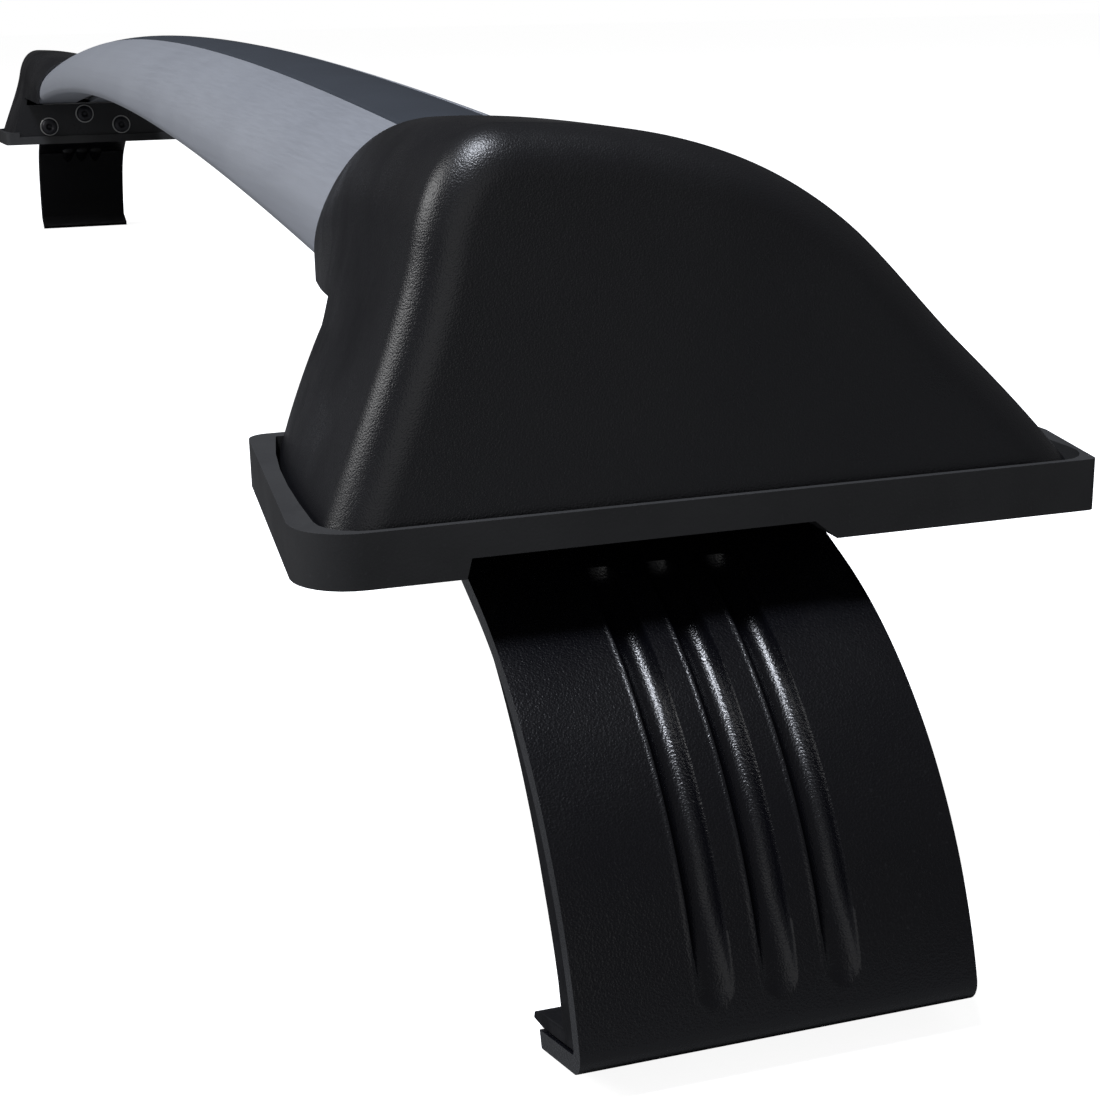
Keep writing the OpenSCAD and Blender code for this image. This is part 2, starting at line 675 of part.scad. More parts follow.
module bar_washers() {
    for (dx = [-1, 1] * bar_bolt_pitch / 2)
        on_belly(dx) translate([0, 0, -plate_t - touch - washer_t - touch / 2]) difference() {
            cylinder(r = washer_r, h = washer_t);
            translate([0, 0, -1]) cylinder(d = bolt_d + 0.4, h = washer_t + 2);
        }
}

module right_bar_washers() { color("lightgray") on_side(1) bar_washers(); }
module left_bar_washers() { color("lightgray") on_side(-1) bar_washers(); }

crossbar();
top_strip();
right_cover();
right_base_pad();
right_foot_bracket();
right_clamp_strap();
right_strap_liner();
right_clamp_nuts();
right_clamp_bolt_front();
right_clamp_bolt_rear();
right_bolt_washers();
right_cover_screw();
right_nut_plate();
right_bar_bolts();
right_bar_washers();
left_cover();
left_base_pad();
left_foot_bracket();
left_clamp_strap();
left_strap_liner();
left_clamp_nuts();
left_clamp_bolt_front();
left_clamp_bolt_rear();
left_bolt_washers();
left_cover_screw();
left_nut_plate();
left_bar_bolts();
left_bar_washers();
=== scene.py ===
# %% [markdown]
# # A roof rack crossbar
# An arched aluminium bar carries loads over a car's roof. It stands on two feet. Each foot has a
# moulded cover, a rubber pad for the paint, and a steel strap that hooks under the top of the door
# frame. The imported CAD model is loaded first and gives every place; nothing is fitted by eye.

# %% Load the fixed frame
import math
import bmesh
import bpy
from mathutils import Matrix, Vector
from mathutils.geometry import tessellate_polygon


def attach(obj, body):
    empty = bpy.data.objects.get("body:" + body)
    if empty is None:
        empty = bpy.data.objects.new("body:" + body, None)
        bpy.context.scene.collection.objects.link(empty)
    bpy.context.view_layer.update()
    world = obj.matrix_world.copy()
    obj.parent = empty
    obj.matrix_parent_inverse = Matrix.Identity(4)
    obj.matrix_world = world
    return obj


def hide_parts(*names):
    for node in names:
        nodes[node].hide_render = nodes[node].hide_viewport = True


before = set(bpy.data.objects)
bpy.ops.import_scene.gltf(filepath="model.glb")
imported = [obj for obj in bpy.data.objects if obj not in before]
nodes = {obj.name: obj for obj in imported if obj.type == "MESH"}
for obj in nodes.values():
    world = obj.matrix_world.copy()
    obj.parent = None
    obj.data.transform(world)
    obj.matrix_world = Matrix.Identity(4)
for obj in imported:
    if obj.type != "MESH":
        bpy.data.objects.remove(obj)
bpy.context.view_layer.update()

# %% [markdown]
# ## The same numbers as the source
# The shapes below repeat the source's named sizes in millimetres. Inside a foot, y = 0 is the
# bar's own line and z = 0 is the underside of the rubber pads, so one drawing serves both feet.

# %% Sizes of the bar, the feet and the clamp
BAR_W, CROWN, BELLY, WALL = 60, 22, 3, 2
ARCH_R, CREST_Z, BAR_REACH, STRIP_W, SLOT_W, UNDER_W = 6770, 70, 545, 21, 11, 9
FOOT_IN, FOOT_D, COLLAR, FIN_TOP, HEEL, TOE = 503, 63, 42, 60, 52, 66
LEAN, COVER_WALL, LIP, GAP, EDGE_R, PAD_T = 4, 2.6, 1.3, 0.4, 7, 5
STRAP_W, STRAP_T, STRAP_R, HOOK_L, STRAP_TOP = 58, 2.6, 71, 15, 2.7
BOLT_PITCH, BOLT_Z, SCREW_Z, BOLT_D = 47, 11.2, 18.9, 6
FOOT_OUT, MOUTH = FOOT_IN + FOOT_D, FOOT_IN - COLLAR
CURVE_TOP, CURVE_END, HOOK_SLOPE = 68.8, 14, 16.6


def cosd(a):
    return math.cos(math.radians(a))


def sind(a):
    return math.sin(math.radians(a))


CURVE_C = (FOOT_OUT - 9.1 - STRAP_R * cosd(CURVE_TOP), -6.3 - STRAP_R * sind(CURVE_TOP))
FOLD_R = STRAP_T + 0.8
FOLD_C = (CURVE_C[0] + (STRAP_R - FOLD_R) * cosd(CURVE_END),
          CURVE_C[1] + (STRAP_R - FOLD_R) * sind(CURVE_END))
LEG_DIR, LEG_UP = (-cosd(HOOK_SLOPE), -sind(HOOK_SLOPE)), (-sind(HOOK_SLOPE), cosd(HOOK_SLOPE))
LEG_END = [FOLD_C[k] - FOLD_R * LEG_UP[k] + HOOK_L * LEG_DIR[k] for k in (0, 1)]
BASE_Z = -LEG_END[1]
PAD_FRONT, PAD_REAR = TOE + 4, HEEL + 3.9
LINE_Y = (PAD_REAR - PAD_FRONT) / 2
print("Pads stand", round(BASE_Z, 2), "mm over the hooks' lower edges")

# %% [markdown]
# ## Making a piece
# A piece is written as points and faces in a foot's own millimetres.

# %% Helpers that place a piece
SIDES = {"right": 1, "left": -1}


def place(points, side=1):
    return [(side * x / 1000, (y + LINE_Y) / 1000, (z + BASE_Z) / 1000) for x, y, z in points]


def new_piece(name, points, faces, side=1):
    mesh = bpy.data.meshes.new(name)
    if side < 0:
        faces = [tuple(reversed(f)) for f in faces]
    mesh.from_pydata(place(points, side), [], faces)
    mesh.update()
    piece = bpy.data.objects.new(name, mesh)
    bpy.context.scene.collection.objects.link(piece)
    return piece


def smooth(piece, angle=32):
    piece.data.shade_smooth()
    piece.data.set_sharp_from_angle(angle=math.radians(angle))


def round_edges(piece, width_mm, angle=40, segments=3):
    bevel = piece.modifiers.new("rounded edges", "BEVEL")
    bevel.width, bevel.segments = width_mm / 1000, segments
    bevel.limit_method, bevel.angle_limit = "ANGLE", math.radians(angle)
    bevel.harden_normals = True


def apply_modifiers(piece):
    bpy.context.view_layer.update()
    graph = bpy.context.evaluated_depsgraph_get()
    done = bpy.data.meshes.new_from_object(piece.evaluated_get(graph))
    piece.modifiers.clear()
    piece.data = done


def cut(piece, cutters, join=False):
    for k, cutter in enumerate(cutters):
        step = piece.modifiers.new(f"cut {k}", "BOOLEAN")
        step.operation, step.solver = ("UNION" if join else "DIFFERENCE"), "MANIFOLD"
        step.object = cutter
    apply_modifiers(piece)
    for cutter in cutters:
        bpy.data.objects.remove(cutter)


def finish_piece(piece, body, finish, slot, *stands_for):
    piece.data.materials.clear()
    piece.data.materials.append(finish)
    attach(piece, body)
    if stands_for:
        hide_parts(*stands_for)
    return piece


def prism(name, outline, low, high, axis, side=1):
    """An outline extruded from low to high along x, y or z."""
    order = {"x": lambda p, h: (h, p[0], p[1]), "y": lambda p, h: (p[0], h, p[1]),
             "z": lambda p, h: (p[0], p[1], h)}[axis]
    n = len(outline)
    points = [order(p, low) for p in outline] + [order(p, high) for p in outline]
    faces = [tuple(range(n))[::-1], tuple(range(n, 2 * n))]
    faces += [(i, (i + 1) % n, n + (i + 1) % n, n + i) for i in range(n)]
    piece = new_piece(name, points, faces, side)
    tidy = bmesh.new()
    tidy.from_mesh(piece.data)
    bmesh.ops.recalc_face_normals(tidy, faces=tidy.faces)
    tidy.to_mesh(piece.data)
    tidy.free()
    return piece


def rod(name, y, z, radius, x0, x1, side=1, steps=40):
    ring = [(y + radius * cosd(360 * i / steps), z + radius * sind(360 * i / steps))
            for i in range(steps)]
    return prism(name, ring, x0, x1, "x", side)


# %% [markdown]
# ## Effects that several finishes share
# Moulded plastic, rubber and powder coat all owe their look to a fine relief and to slow changes
# in gloss, so each of those is a node group with its own scale. Coordinates are the object's own
# metres: the pattern stays in the material when a strap moves, and has one true size everywhere.
# An image could do the same, but it needs unwrapping and shows its pixels close up.

# %% Node group helpers
def new_group(name, inputs, outputs):
    group = bpy.data.node_groups.new(name, "ShaderNodeTree")
    for label, kind, value in inputs:
        socket = group.interface.new_socket(label, in_out="INPUT", socket_type=kind)
        if value is not None:
            socket.default_value = value
    for label, kind in outputs:
        group.interface.new_socket(label, in_out="OUTPUT", socket_type=kind)
    return group, group.nodes.new("NodeGroupInput"), group.nodes.new("NodeGroupOutput")


def add(tree, kind, links=None, **values):
    """A node with its settings and inputs: a plain value is set, and a socket is linked."""
    node = tree.nodes.new(kind)
    for key, value in values.items():
        setattr(node, key, value)
    for key, value in (links or {}).items():
        socket = node.inputs[key]
        if isinstance(value, bpy.types.NodeSocket):
            tree.links.new(value, socket)
        else:
            socket.default_value = value
    return node


def math_node(tree, operation, a, b=0.0, clamp=False):
    node = add(tree, "ShaderNodeMath", {0: a, 1: b}, operation=operation)
    node.use_clamp = clamp
    return node.outputs[0]


def ramp(tree, value, low, high, to_low=0.0, to_high=1.0):
    node = add(tree, "ShaderNodeMapRange", {"Value": value, "From Min": low, "From Max": high,
                                            "To Min": to_low, "To Max": to_high})
    return node.outputs["Result"]


# %% Shared effect: fine moulded grain
grain_group, g_in, g_out = new_group(
    "moulded grain", [("Vector", "NodeSocketVector", None), ("Size mm", "NodeSocketFloat", 0.6)],
    [("Height", "NodeSocketFloat"), ("Pits", "NodeSocketFloat")])
per_metre = math_node(grain_group, "DIVIDE", 1000.0, g_in.outputs["Size mm"])
pebbles = add(grain_group, "ShaderNodeTexVoronoi",
              {"Vector": g_in.outputs["Vector"], "Scale": per_metre}, feature="SMOOTH_F1")
pebbles.inputs["Smoothness"].default_value = 0.6
fuzz = add(grain_group, "ShaderNodeTexNoise",
           {"Vector": g_in.outputs["Vector"], "Scale": math_node(grain_group, "MULTIPLY", per_metre, 0.7),
            "Detail": 3.0, "Roughness": 0.6})
relief = math_node(grain_group, "ADD",
                   math_node(grain_group, "MULTIPLY", pebbles.outputs["Distance"], -0.7),
                   math_node(grain_group, "MULTIPLY", fuzz.outputs["Fac"], 0.8))
grain_group.links.new(relief, g_out.inputs["Height"])
grain_group.links.new(ramp(grain_group, pebbles.outputs["Distance"], 0.25, 0.6), g_out.inputs["Pits"])

# %% Shared effect: handling marks, which vary the gloss slowly and leave a little dust
marks_group, m_in, m_out = new_group(
    "handling marks", [("Vector", "NodeSocketVector", None), ("Size mm", "NodeSocketFloat", 25.0)],
    [("Smudge", "NodeSocketFloat"), ("Dust", "NodeSocketFloat"), ("Scratch", "NodeSocketFloat")])
slow = math_node(marks_group, "DIVIDE", 1000.0, m_in.outputs["Size mm"])
clouds = add(marks_group, "ShaderNodeTexNoise", {"Vector": m_in.outputs["Vector"], "Scale": slow,
                                                "Detail": 4.0, "Roughness": 0.55})
specks = add(marks_group, "ShaderNodeTexNoise", {"Vector": m_in.outputs["Vector"], "Scale": 1400.0,
                                                "Detail": 2.0})
stretched = add(marks_group, "ShaderNodeMapping", {"Vector": m_in.outputs["Vector"],
                                                   "Scale": (60.0, 900.0, 420.0),
                                                   "Rotation": (0.3, 0.5, 0.2)})
hairs = add(marks_group, "ShaderNodeTexNoise", {"Vector": stretched.outputs["Vector"], "Scale": 1.0,
                                               "Detail": 1.0})
marks_group.links.new(ramp(marks_group, clouds.outputs["Fac"], 0.35, 0.65), m_out.inputs["Smudge"])
dust = math_node(marks_group, "MULTIPLY", ramp(marks_group, specks.outputs["Fac"], 0.64, 0.74),
                 ramp(marks_group, clouds.outputs["Fac"], 0.42, 0.62))
marks_group.links.new(dust, m_out.inputs["Dust"])
marks_group.links.new(ramp(marks_group, hairs.outputs["Fac"], 0.7, 0.78), m_out.inputs["Scratch"])

# %% Shared effect: edges that are rubbed a little and carry a painted highlight
rubbed_lit_edge_group, w_in, w_out = new_group(
    "rubbed edges and painted highlight", [("Vector", "NodeSocketVector", None), ("Amount", "NodeSocketFloat", 0.5)],
    [("Edge", "NodeSocketFloat")])
shape_node = add(rubbed_lit_edge_group, "ShaderNodeNewGeometry")
crest_mask = ramp(rubbed_lit_edge_group, shape_node.outputs["Pointiness"], 0.52, 0.60)
patches = add(rubbed_lit_edge_group, "ShaderNodeTexNoise", {"Vector": w_in.outputs["Vector"], "Scale": 220.0,
                                                "Detail": 3.0})
# Sharp edges (high pointiness) turn towards the edge colour: rubbed wear and a painted edge highlight.
broken = math_node(rubbed_lit_edge_group, "MULTIPLY", crest_mask, ramp(rubbed_lit_edge_group, patches.outputs["Fac"], 0.4, 0.6))
rubbed_lit_edge_group.links.new(math_node(rubbed_lit_edge_group, "MULTIPLY", broken, w_in.outputs["Amount"]),
                     w_out.inputs["Edge"])
print("Shared effects:", [g.name for g in bpy.data.node_groups])

# %% [markdown]
# ## Finishes
# Every finish is built by one function: a base colour that the marks change a little and that the
# edges lighten a little, as rubbed wear and as a painted highlight, a roughness that the marks change
# too, and a bump from the relief. The values are what differ. A grained skin hides its own gloss at
# a flat angle, where one grain stands in front of the next. A bump can't do that, so Layer Weight
# takes the reflection away there, by the share "shy".

# %% The finish builder
def effect(tree, group, links):
    node = tree.nodes.new("ShaderNodeGroup")
    node.node_tree = group
    for key, value in links.items():
        if isinstance(value, bpy.types.NodeSocket):
            tree.links.new(value, node.inputs[key])
        else:
            node.inputs[key].default_value = value
    return node.outputs


def mixed(tree, factor, a, b):
    node = tree.nodes.new("ShaderNodeMix")
    node.data_type = "RGBA"
    tree.links.new(factor, node.inputs["Factor"])
    for key, value in ((6, a), (7, b)):
        if isinstance(value, bpy.types.NodeSocket):
            tree.links.new(value, node.inputs[key])
        else:
            node.inputs[key].default_value = (*value, 1.0)
    return node.outputs[2]


def finish_of(name, colour, rough, grain_mm, bump, metal=0.0, dusty=(0.25, 0.25, 0.26), dust_amount=0.25,
              edge=(0.1, 0.1, 0.11), edge_amount=0.3, rough_spread=0.08, specular=0.5, coat=0.0,
              coat_rough=0.1, tone=None, shy=0.0):
    made = bpy.data.materials.new(name)
    made.use_nodes = True
    tree = made.node_tree
    shader = tree.nodes["Principled BSDF"]
    where = tree.nodes.new("ShaderNodeTexCoord").outputs["Object"]
    grain = effect(tree, grain_group, {"Vector": where, "Size mm": grain_mm})
    marks = effect(tree, marks_group, {"Vector": where})
    worn_and_lit = effect(tree, rubbed_lit_edge_group, {"Vector": where, "Amount": edge_amount})
    second = tone or [0.8 * c for c in colour]
    base = mixed(tree, marks["Smudge"], colour, second)
    base = mixed(tree, math_node(tree, "MULTIPLY", marks["Dust"], dust_amount), base, dusty)
    # Edges are mixed towards the lighter edge colour: rubbed wear and a painted edge highlight.
    base = mixed(tree, worn_and_lit["Edge"], base, edge)
    tree.links.new(base, shader.inputs["Base Color"])
    gloss = ramp(tree, marks["Smudge"], 0.0, 1.0, rough - rough_spread, rough + rough_spread)
    gloss = math_node(tree, "ADD", gloss, math_node(tree, "MULTIPLY", grain["Pits"], 0.06), clamp=True)
    tree.links.new(gloss, shader.inputs["Roughness"])
    shader.inputs["Metallic"].default_value = metal
    flat = add(tree, "ShaderNodeLayerWeight", {"Blend": 0.5}).outputs["Facing"]
    tree.links.new(ramp(tree, flat, 0.35, 0.80, specular, (1 - shy) * specular),
                   shader.inputs["Specular IOR Level"])
    shader.inputs["Coat Weight"].default_value = coat
    shader.inputs["Coat Roughness"].default_value = coat_rough
    bump_node = add(tree, "ShaderNodeBump", {"Strength": 1.0, "Distance": bump / 1000,
                                             "Height": grain["Height"]})
    tree.links.new(bump_node.outputs["Normal"], shader.inputs["Normal"])
    return made


# %% [markdown]
# The cover is black plastic with a fine moulded grain that glitters on its rounded edges. The pad
# and liner are duller rubber. The strap is powder coated: an orange-peel skin under a thin gloss.

# %% Plastic, rubber and powder coat
# The edge colours below are lighter than the bases: rubbed wear and a painted edge highlight.
cover_plastic = finish_of("grained black plastic", (0.0095, 0.0095, 0.0110), 0.31, 0.25, 0.050,
                          edge=(0.014, 0.014, 0.016), specular=0.46, dust_amount=0.02, shy=0.93)
pad_rubber = finish_of("pad rubber", (0.045, 0.045, 0.046), 0.62, 0.35, 0.012, dust_amount=0.03,
                       edge=(0.052, 0.052, 0.052), specular=0.10, shy=0.8)
liner_rubber = finish_of("liner rubber", (0.008, 0.008, 0.009), 0.65, 0.5, 0.03, dust_amount=0.05,
                         specular=0.20, shy=0.8)
powder_coat = finish_of("black powder coat", (0.0022, 0.0022, 0.0036), 0.25, 0.30, 0.054,
                        edge=(0.012, 0.012, 0.015), edge_amount=0.4, specular=0.46, rough_spread=0.03,
                        dust_amount=0.02, coat=0.05, coat_rough=0.12, shy=0.8)
strip_rubber = finish_of("strip rubber", (0.034, 0.039, 0.048), 0.55, 0.4, 0.012, dust_amount=0.03,
                         specular=0.30, tone=(0.037, 0.042, 0.051), shy=0.7)

# %% [markdown]
# The bar is satin anodised aluminium. Extrusion leaves faint lines along the bar, so its relief
# is noise drawn out along X. The oxide skin makes it less of a mirror than bare metal: it is three
# quarters metallic. The bracket and washers are bright zinc, and the bolts are black zinc.

# %% Metals
# The edge colours below are lighter than the bases: rubbed wear and a painted edge highlight.
plated_steel = finish_of("zinc plated steel", (0.50, 0.50, 0.48), 0.38, 0.5, 0.01, metal=1.0,
                         edge=(0.62, 0.62, 0.62), tone=(0.42, 0.42, 0.42))
bolt_steel = finish_of("black zinc bolt steel", (0.055, 0.055, 0.060), 0.38, 0.3, 0.008, metal=0.9,
                       edge=(0.14, 0.14, 0.15), tone=(0.040, 0.040, 0.044))
bar_metal = bpy.data.materials.new("satin anodised aluminium")
bar_metal.use_nodes = True
tree = bar_metal.node_tree
shader = tree.nodes["Principled BSDF"]
where = tree.nodes.new("ShaderNodeTexCoord").outputs["Object"]
drawn = add(tree, "ShaderNodeMapping", {"Vector": where, "Scale": (3.0, 1600.0, 1600.0)})
lines = add(tree, "ShaderNodeTexNoise", {"Vector": drawn.outputs["Vector"], "Scale": 1.0, "Detail": 3.0,
                                         "Roughness": 0.6})
marks = effect(tree, marks_group, {"Vector": where, "Size mm": 60.0})
worn_and_lit = effect(tree, rubbed_lit_edge_group, {"Vector": where, "Amount": 0.6})
base = mixed(tree, marks["Smudge"], (0.39, 0.408, 0.452), (0.405, 0.423, 0.465))
base = mixed(tree, math_node(tree, "MULTIPLY", marks["Scratch"], 0.2), base, (0.44, 0.455, 0.48))
# The bar's edges are lighter: rubbed wear and a painted edge highlight.
base = mixed(tree, worn_and_lit["Edge"], base, (0.52, 0.53, 0.55))
tree.links.new(base, shader.inputs["Base Color"])
gloss = math_node(tree, "ADD", ramp(tree, lines.outputs["Fac"], 0.3, 0.7, 0.48, 0.54),
                  math_node(tree, "MULTIPLY", marks["Smudge"], 0.02))
tree.links.new(gloss, shader.inputs["Roughness"])
shader.inputs["Metallic"].default_value = 0.75
bump_node = add(tree, "ShaderNodeBump", {"Strength": 0.6, "Distance": 0.00002,
                                         "Height": lines.outputs["Fac"]})
tree.links.new(bump_node.outputs["Normal"], shader.inputs["Normal"])
print("Finishes:", [m.name for m in bpy.data.materials])

# %% [markdown]
# ## The bar
# An extrusion has one section all along, so the piece is a list of outlines swept along the arch.
# Sweeping by hand keeps the crest, the slots and the hollows exact. The ends hide in the covers.

# %% Arch and section of the bar
def crest(x):
    return CREST_Z - ARCH_R + math.sqrt(ARCH_R ** 2 - x * x)


def belly(x):
    return CREST_Z - ARCH_R + math.sqrt((ARCH_R - CROWN - BELLY) ** 2 - x * x)


def arc(c, r, a0, a1, n):
    return [(c[0] + r * cosd(a0 + (a1 - a0) * i / n), c[1] + r * sind(a0 + (a1 - a0) * i / n))
            for i in range(n + 1)]


def crown_height(y, half=BAR_W / 2, h=CROWN):
    return h * math.sqrt(max(0.0, 1 - (y / half) ** 2)) - CROWN


def bar_section():
    """Outer loop of the section from the strip's seat round to the lower slot, then its mirror."""
    seat, lip, h = -1.6, -4.0, -(CROWN + BELLY)
    edge = STRIP_W / 2
    a0 = math.degrees(math.acos(edge / (BAR_W / 2)))
    right = [(SLOT_W / 2 + 4.5, -9), (SLOT_W / 2 + 4.5, lip), (SLOT_W / 2, lip), (SLOT_W / 2, seat),
             (edge, seat), (edge, crown_height(edge) - 0.12), (edge + 0.15, crown_height(edge + 0.15))]
    right += [(BAR_W / 2 * cosd(a), CROWN * sind(a) - CROWN)
              for a in [a0 - 1.2 - (a0 - 1.2) * i / 40 for i in range(41)]]
    right += arc((BAR_W / 2 - BELLY, -CROWN), BELLY, 0, -90, 8)[1:]
    inner = UNDER_W / 2 + 3.8
    right += [(UNDER_W / 2, h), (UNDER_W / 2, h + 2.4), (inner, h + 2.4), (inner, h + 8.4)]
    return right + [(-y, z) for y, z in reversed(right)]


def sweep(name, loops, reach, stations):
    """Sweeps closed loops of (y, z) along the arch, and closes both ends."""
    ends = [Vector((y, z, 0)) for loop in loops for y, z in loop]
    count = len(ends)
    points = []
    for k in range(stations + 1):
        half = math.asin(reach / ARCH_R)
        a = -half + 2 * half * k / stations
        points += [((ARCH_R + p.y) * math.sin(a), p.x, CREST_Z - ARCH_R + (ARCH_R + p.y) * math.cos(a))
                   for p in ends]
    faces, start = [], 0
    for loop in loops:
        n = len(loop)
        for k in range(stations):
            for i in range(n):
                a, b = start + i, start + (i + 1) % n
                faces.append((k * count + a, k * count + b, (k + 1) * count + b, (k + 1) * count + a))
        start += n
    caps = tessellate_polygon([[Vector((y, z, 0)) for y, z in loop] for loop in loops])
    last = stations * count
    faces += [tuple(t) for t in caps] + [tuple(last + i for i in reversed(t)) for t in caps]
    piece = new_piece(name, points, faces)
    tidy = bmesh.new()
    tidy.from_mesh(piece.data)
    bmesh.ops.recalc_face_normals(tidy, faces=tidy.faces)
    tidy.to_mesh(piece.data)
    tidy.free()
    return piece


# %% Sweep the bar with its two side hollows
def side_hollow(sign):
    half, h = BAR_W / 2 - WALL, CROWN - WALL
    inner = SLOT_W / 2 + 4.5 + WALL
    a0 = math.degrees(math.acos(inner / half))
    loop = [(inner, -11)] + [(half * cosd(a), h * sind(a) - CROWN) for a in
                             [a0 - a0 * i / 16 for i in range(17)]]
    low = UNDER_W / 2 + 3.8 + WALL
    loop += [(half, -CROWN - 0.2), (half - 1.2, -CROWN - 1), (low, -CROWN - 1), (low, -14.6), (1, -14.6),
             (1, -11)]
    return [(sign * y, z) for y, z in loop]


bar = sweep("crossbar_body", [bar_section(), side_hollow(1), side_hollow(-1)], BAR_REACH, 120)
smooth(bar, 30)
finish_piece(bar, "rack", bar_metal, "anodised_bar", "crossbar")
print("Bar:", len(bar.data.polygons), "faces")

# %% [markdown]
# The rubber strip fills the upper slot and carries the crown's curve across it. Its edges are
# rounded and stand off a little, which leaves the fine dark line between rubber and metal.

# %% Sweep the rubber strip
EDGE_DROP, EDGE_ROUND = 0.7, 0.8
half = STRIP_W / 2 - 0.4
across = [half] + [half * math.cos(math.pi * i / 24) for i in range(1, 24)] + [-half]
strip_top = [(y, crown_height(y) - 0.1
              - EDGE_DROP * max(0.0, (abs(y) - half + EDGE_ROUND) / EDGE_ROUND) ** 2) for y in across]
stem = SLOT_W / 2 - 0.25
barbs = [(-half, -1.5), (-stem, -1.5), (-stem, -4.25), (-stem - 1.8, -4.25), (-stem, -6.6),
         (stem, -6.6), (stem + 1.8, -4.25), (stem, -4.25), (stem, -1.5), (half, -1.5)]
strip = sweep("top_strip_rubber", [strip_top + barbs], BAR_REACH - 2, 120)
smooth(strip, 40)
finish_piece(strip, "rack", strip_rubber, "strip_rubber", "top_strip")
print("Strip:", len(strip.data.polygons), "faces")

# %% [markdown]
# ## The cover
# A fin at the outer face flows into a collar round the bar. That is a loft: rows of points change
# step by step from the bar's outline into the fin's. More rows and points than in the CAD solid
# make it smooth, the outer edge is a true quarter round, and a second skin inside gives the wall.

# %% Outlines of the fin and of the collar's mouth
FIN_STEPS = (24, 26, 36, 16, 18)
flank = (-HEEL + 15, FIN_TOP - 15.5)
shoulder = (-HEEL + 29, FIN_TOP)
slope = (TOE - 36.5, FIN_TOP - 17)
middle = (TOE - 20.5, FIN_TOP - 33.5)
FIN_CURVES = (
    ((-HEEL, PAD_T), (-HEEL + 6.5, 22), (-HEEL + 12.5, FIN_TOP - 26.5), flank),
    (flank, (flank[0] + 1.8, flank[1] + 8.5), (shoulder[0] - 8, shoulder[1] + 0.3), shoulder),
    (shoulder, (shoulder[0] + 20, shoulder[1] - 0.5), (slope[0] - 15, slope[1] + 13.2), slope),
    (slope, (slope[0] + 6, slope[1] - 5.5), (middle[0] - 5.5, middle[1] + 5.4), middle),
    (middle, (middle[0] + 7, middle[1] - 6.7), (TOE - 6.5, PAD_T + 8), (TOE, PAD_T)))


def bezier(p, t):
    return tuple((1 - t) ** 3 * p[0][k] + 3 * t * (1 - t) ** 2 * p[1][k] + 3 * t * t * (1 - t) * p[2][k]
                 + t ** 3 * p[3][k] for k in (0, 1))


def fin_line():
    return [FIN_CURVES[0][0]] + [bezier(c, i / n) for c, n in zip(FIN_CURVES, FIN_STEPS)
                                 for i in range(1, n + 1)]


def mouth_line(off):
    a, b, zc = BAR_W / 2 + off, CROWN + off, crest(MOUTH) - CROWN
    n = FIN_STEPS

    def ring(a0, a1, count):
        return [(a * cosd(a0 + (a1 - a0) * i / count), zc + b * sind(a0 + (a1 - a0) * i / count))
                for i in range(1, count + 1)]
    return ([(-a, PAD_T + (zc - PAD_T) * i / n[0]) for i in range(n[0] + 1)]
            + ring(180, 128, n[1]) + ring(128, 52, n[2]) + ring(52, 0, n[3])
            + [(a, zc + (PAD_T - zc) * i / n[4]) for i in range(1, n[4] + 1)])


# %% Rows of the cover's skin
def inset(line, d):
    n, out = len(line) - 1, []
    for i, p in enumerate(line):
        t = Vector(line[min(n, i + 1)]) - Vector(line[max(0, i - 1)])
        t.normalize()
        out.append((p[0] + d * t.y, PAD_T if i in (0, n) else p[1] - d * t.x))
    return out


SIDE_ROWS, EDGE_ROWS, FACE_ROWS = 34, 14, 8
LAST_ROW = SIDE_ROWS + EDGE_ROWS + FACE_ROWS
POINTS = sum(FIN_STEPS)


def skin_row(x, wall, off):
    t = min(1.0, (x - MOUTH) / (FOOT_OUT - MOUTH))
    m, f = mouth_line(off), inset(fin_line(), wall)
    out = []
    for i in range(POINTS + 1):
        low = max(0, 1 - (i / (0.55 * FIN_STEPS[0])) ** 2)
        w = 1 - (1 - t) ** (2 + 2 * i / POINTS + 0.85 * low)
        out.append((m[i][0] + (f[i][0] - m[i][0]) * w, m[i][1] + (f[i][1] - m[i][1]) * w))
    return out


def leant(x, p):
    return (x - LEAN * (p[1] - PAD_T) / (FIN_TOP - PAD_T) * (x - MOUTH) / (FOOT_OUT - MOUTH), p[0], p[1])


def skin(wall, off):
    r, x_edge, rows = EDGE_R - wall, FOOT_OUT - EDGE_R, []
    edge = skin_row(x_edge, wall, off)
    for row in range(LAST_ROW + 1):
        if row <= SIDE_ROWS:
            x = MOUTH + (x_edge - MOUTH) * row / SIDE_ROWS
            rows.append([leant(x, p) for p in skin_row(x, wall, off)])
        else:
            a = min(90, 90 * (row - SIDE_ROWS) / EDGE_ROWS)
            sink = max(0, row - SIDE_ROWS - EDGE_ROWS) / FACE_ROWS
            rows.append([leant(x_edge + r * sind(a), (p[0], p[1] + (PAD_T - p[1]) * sink))
                         for p in inset(edge, r * (1 - cosd(a)))])
    return rows


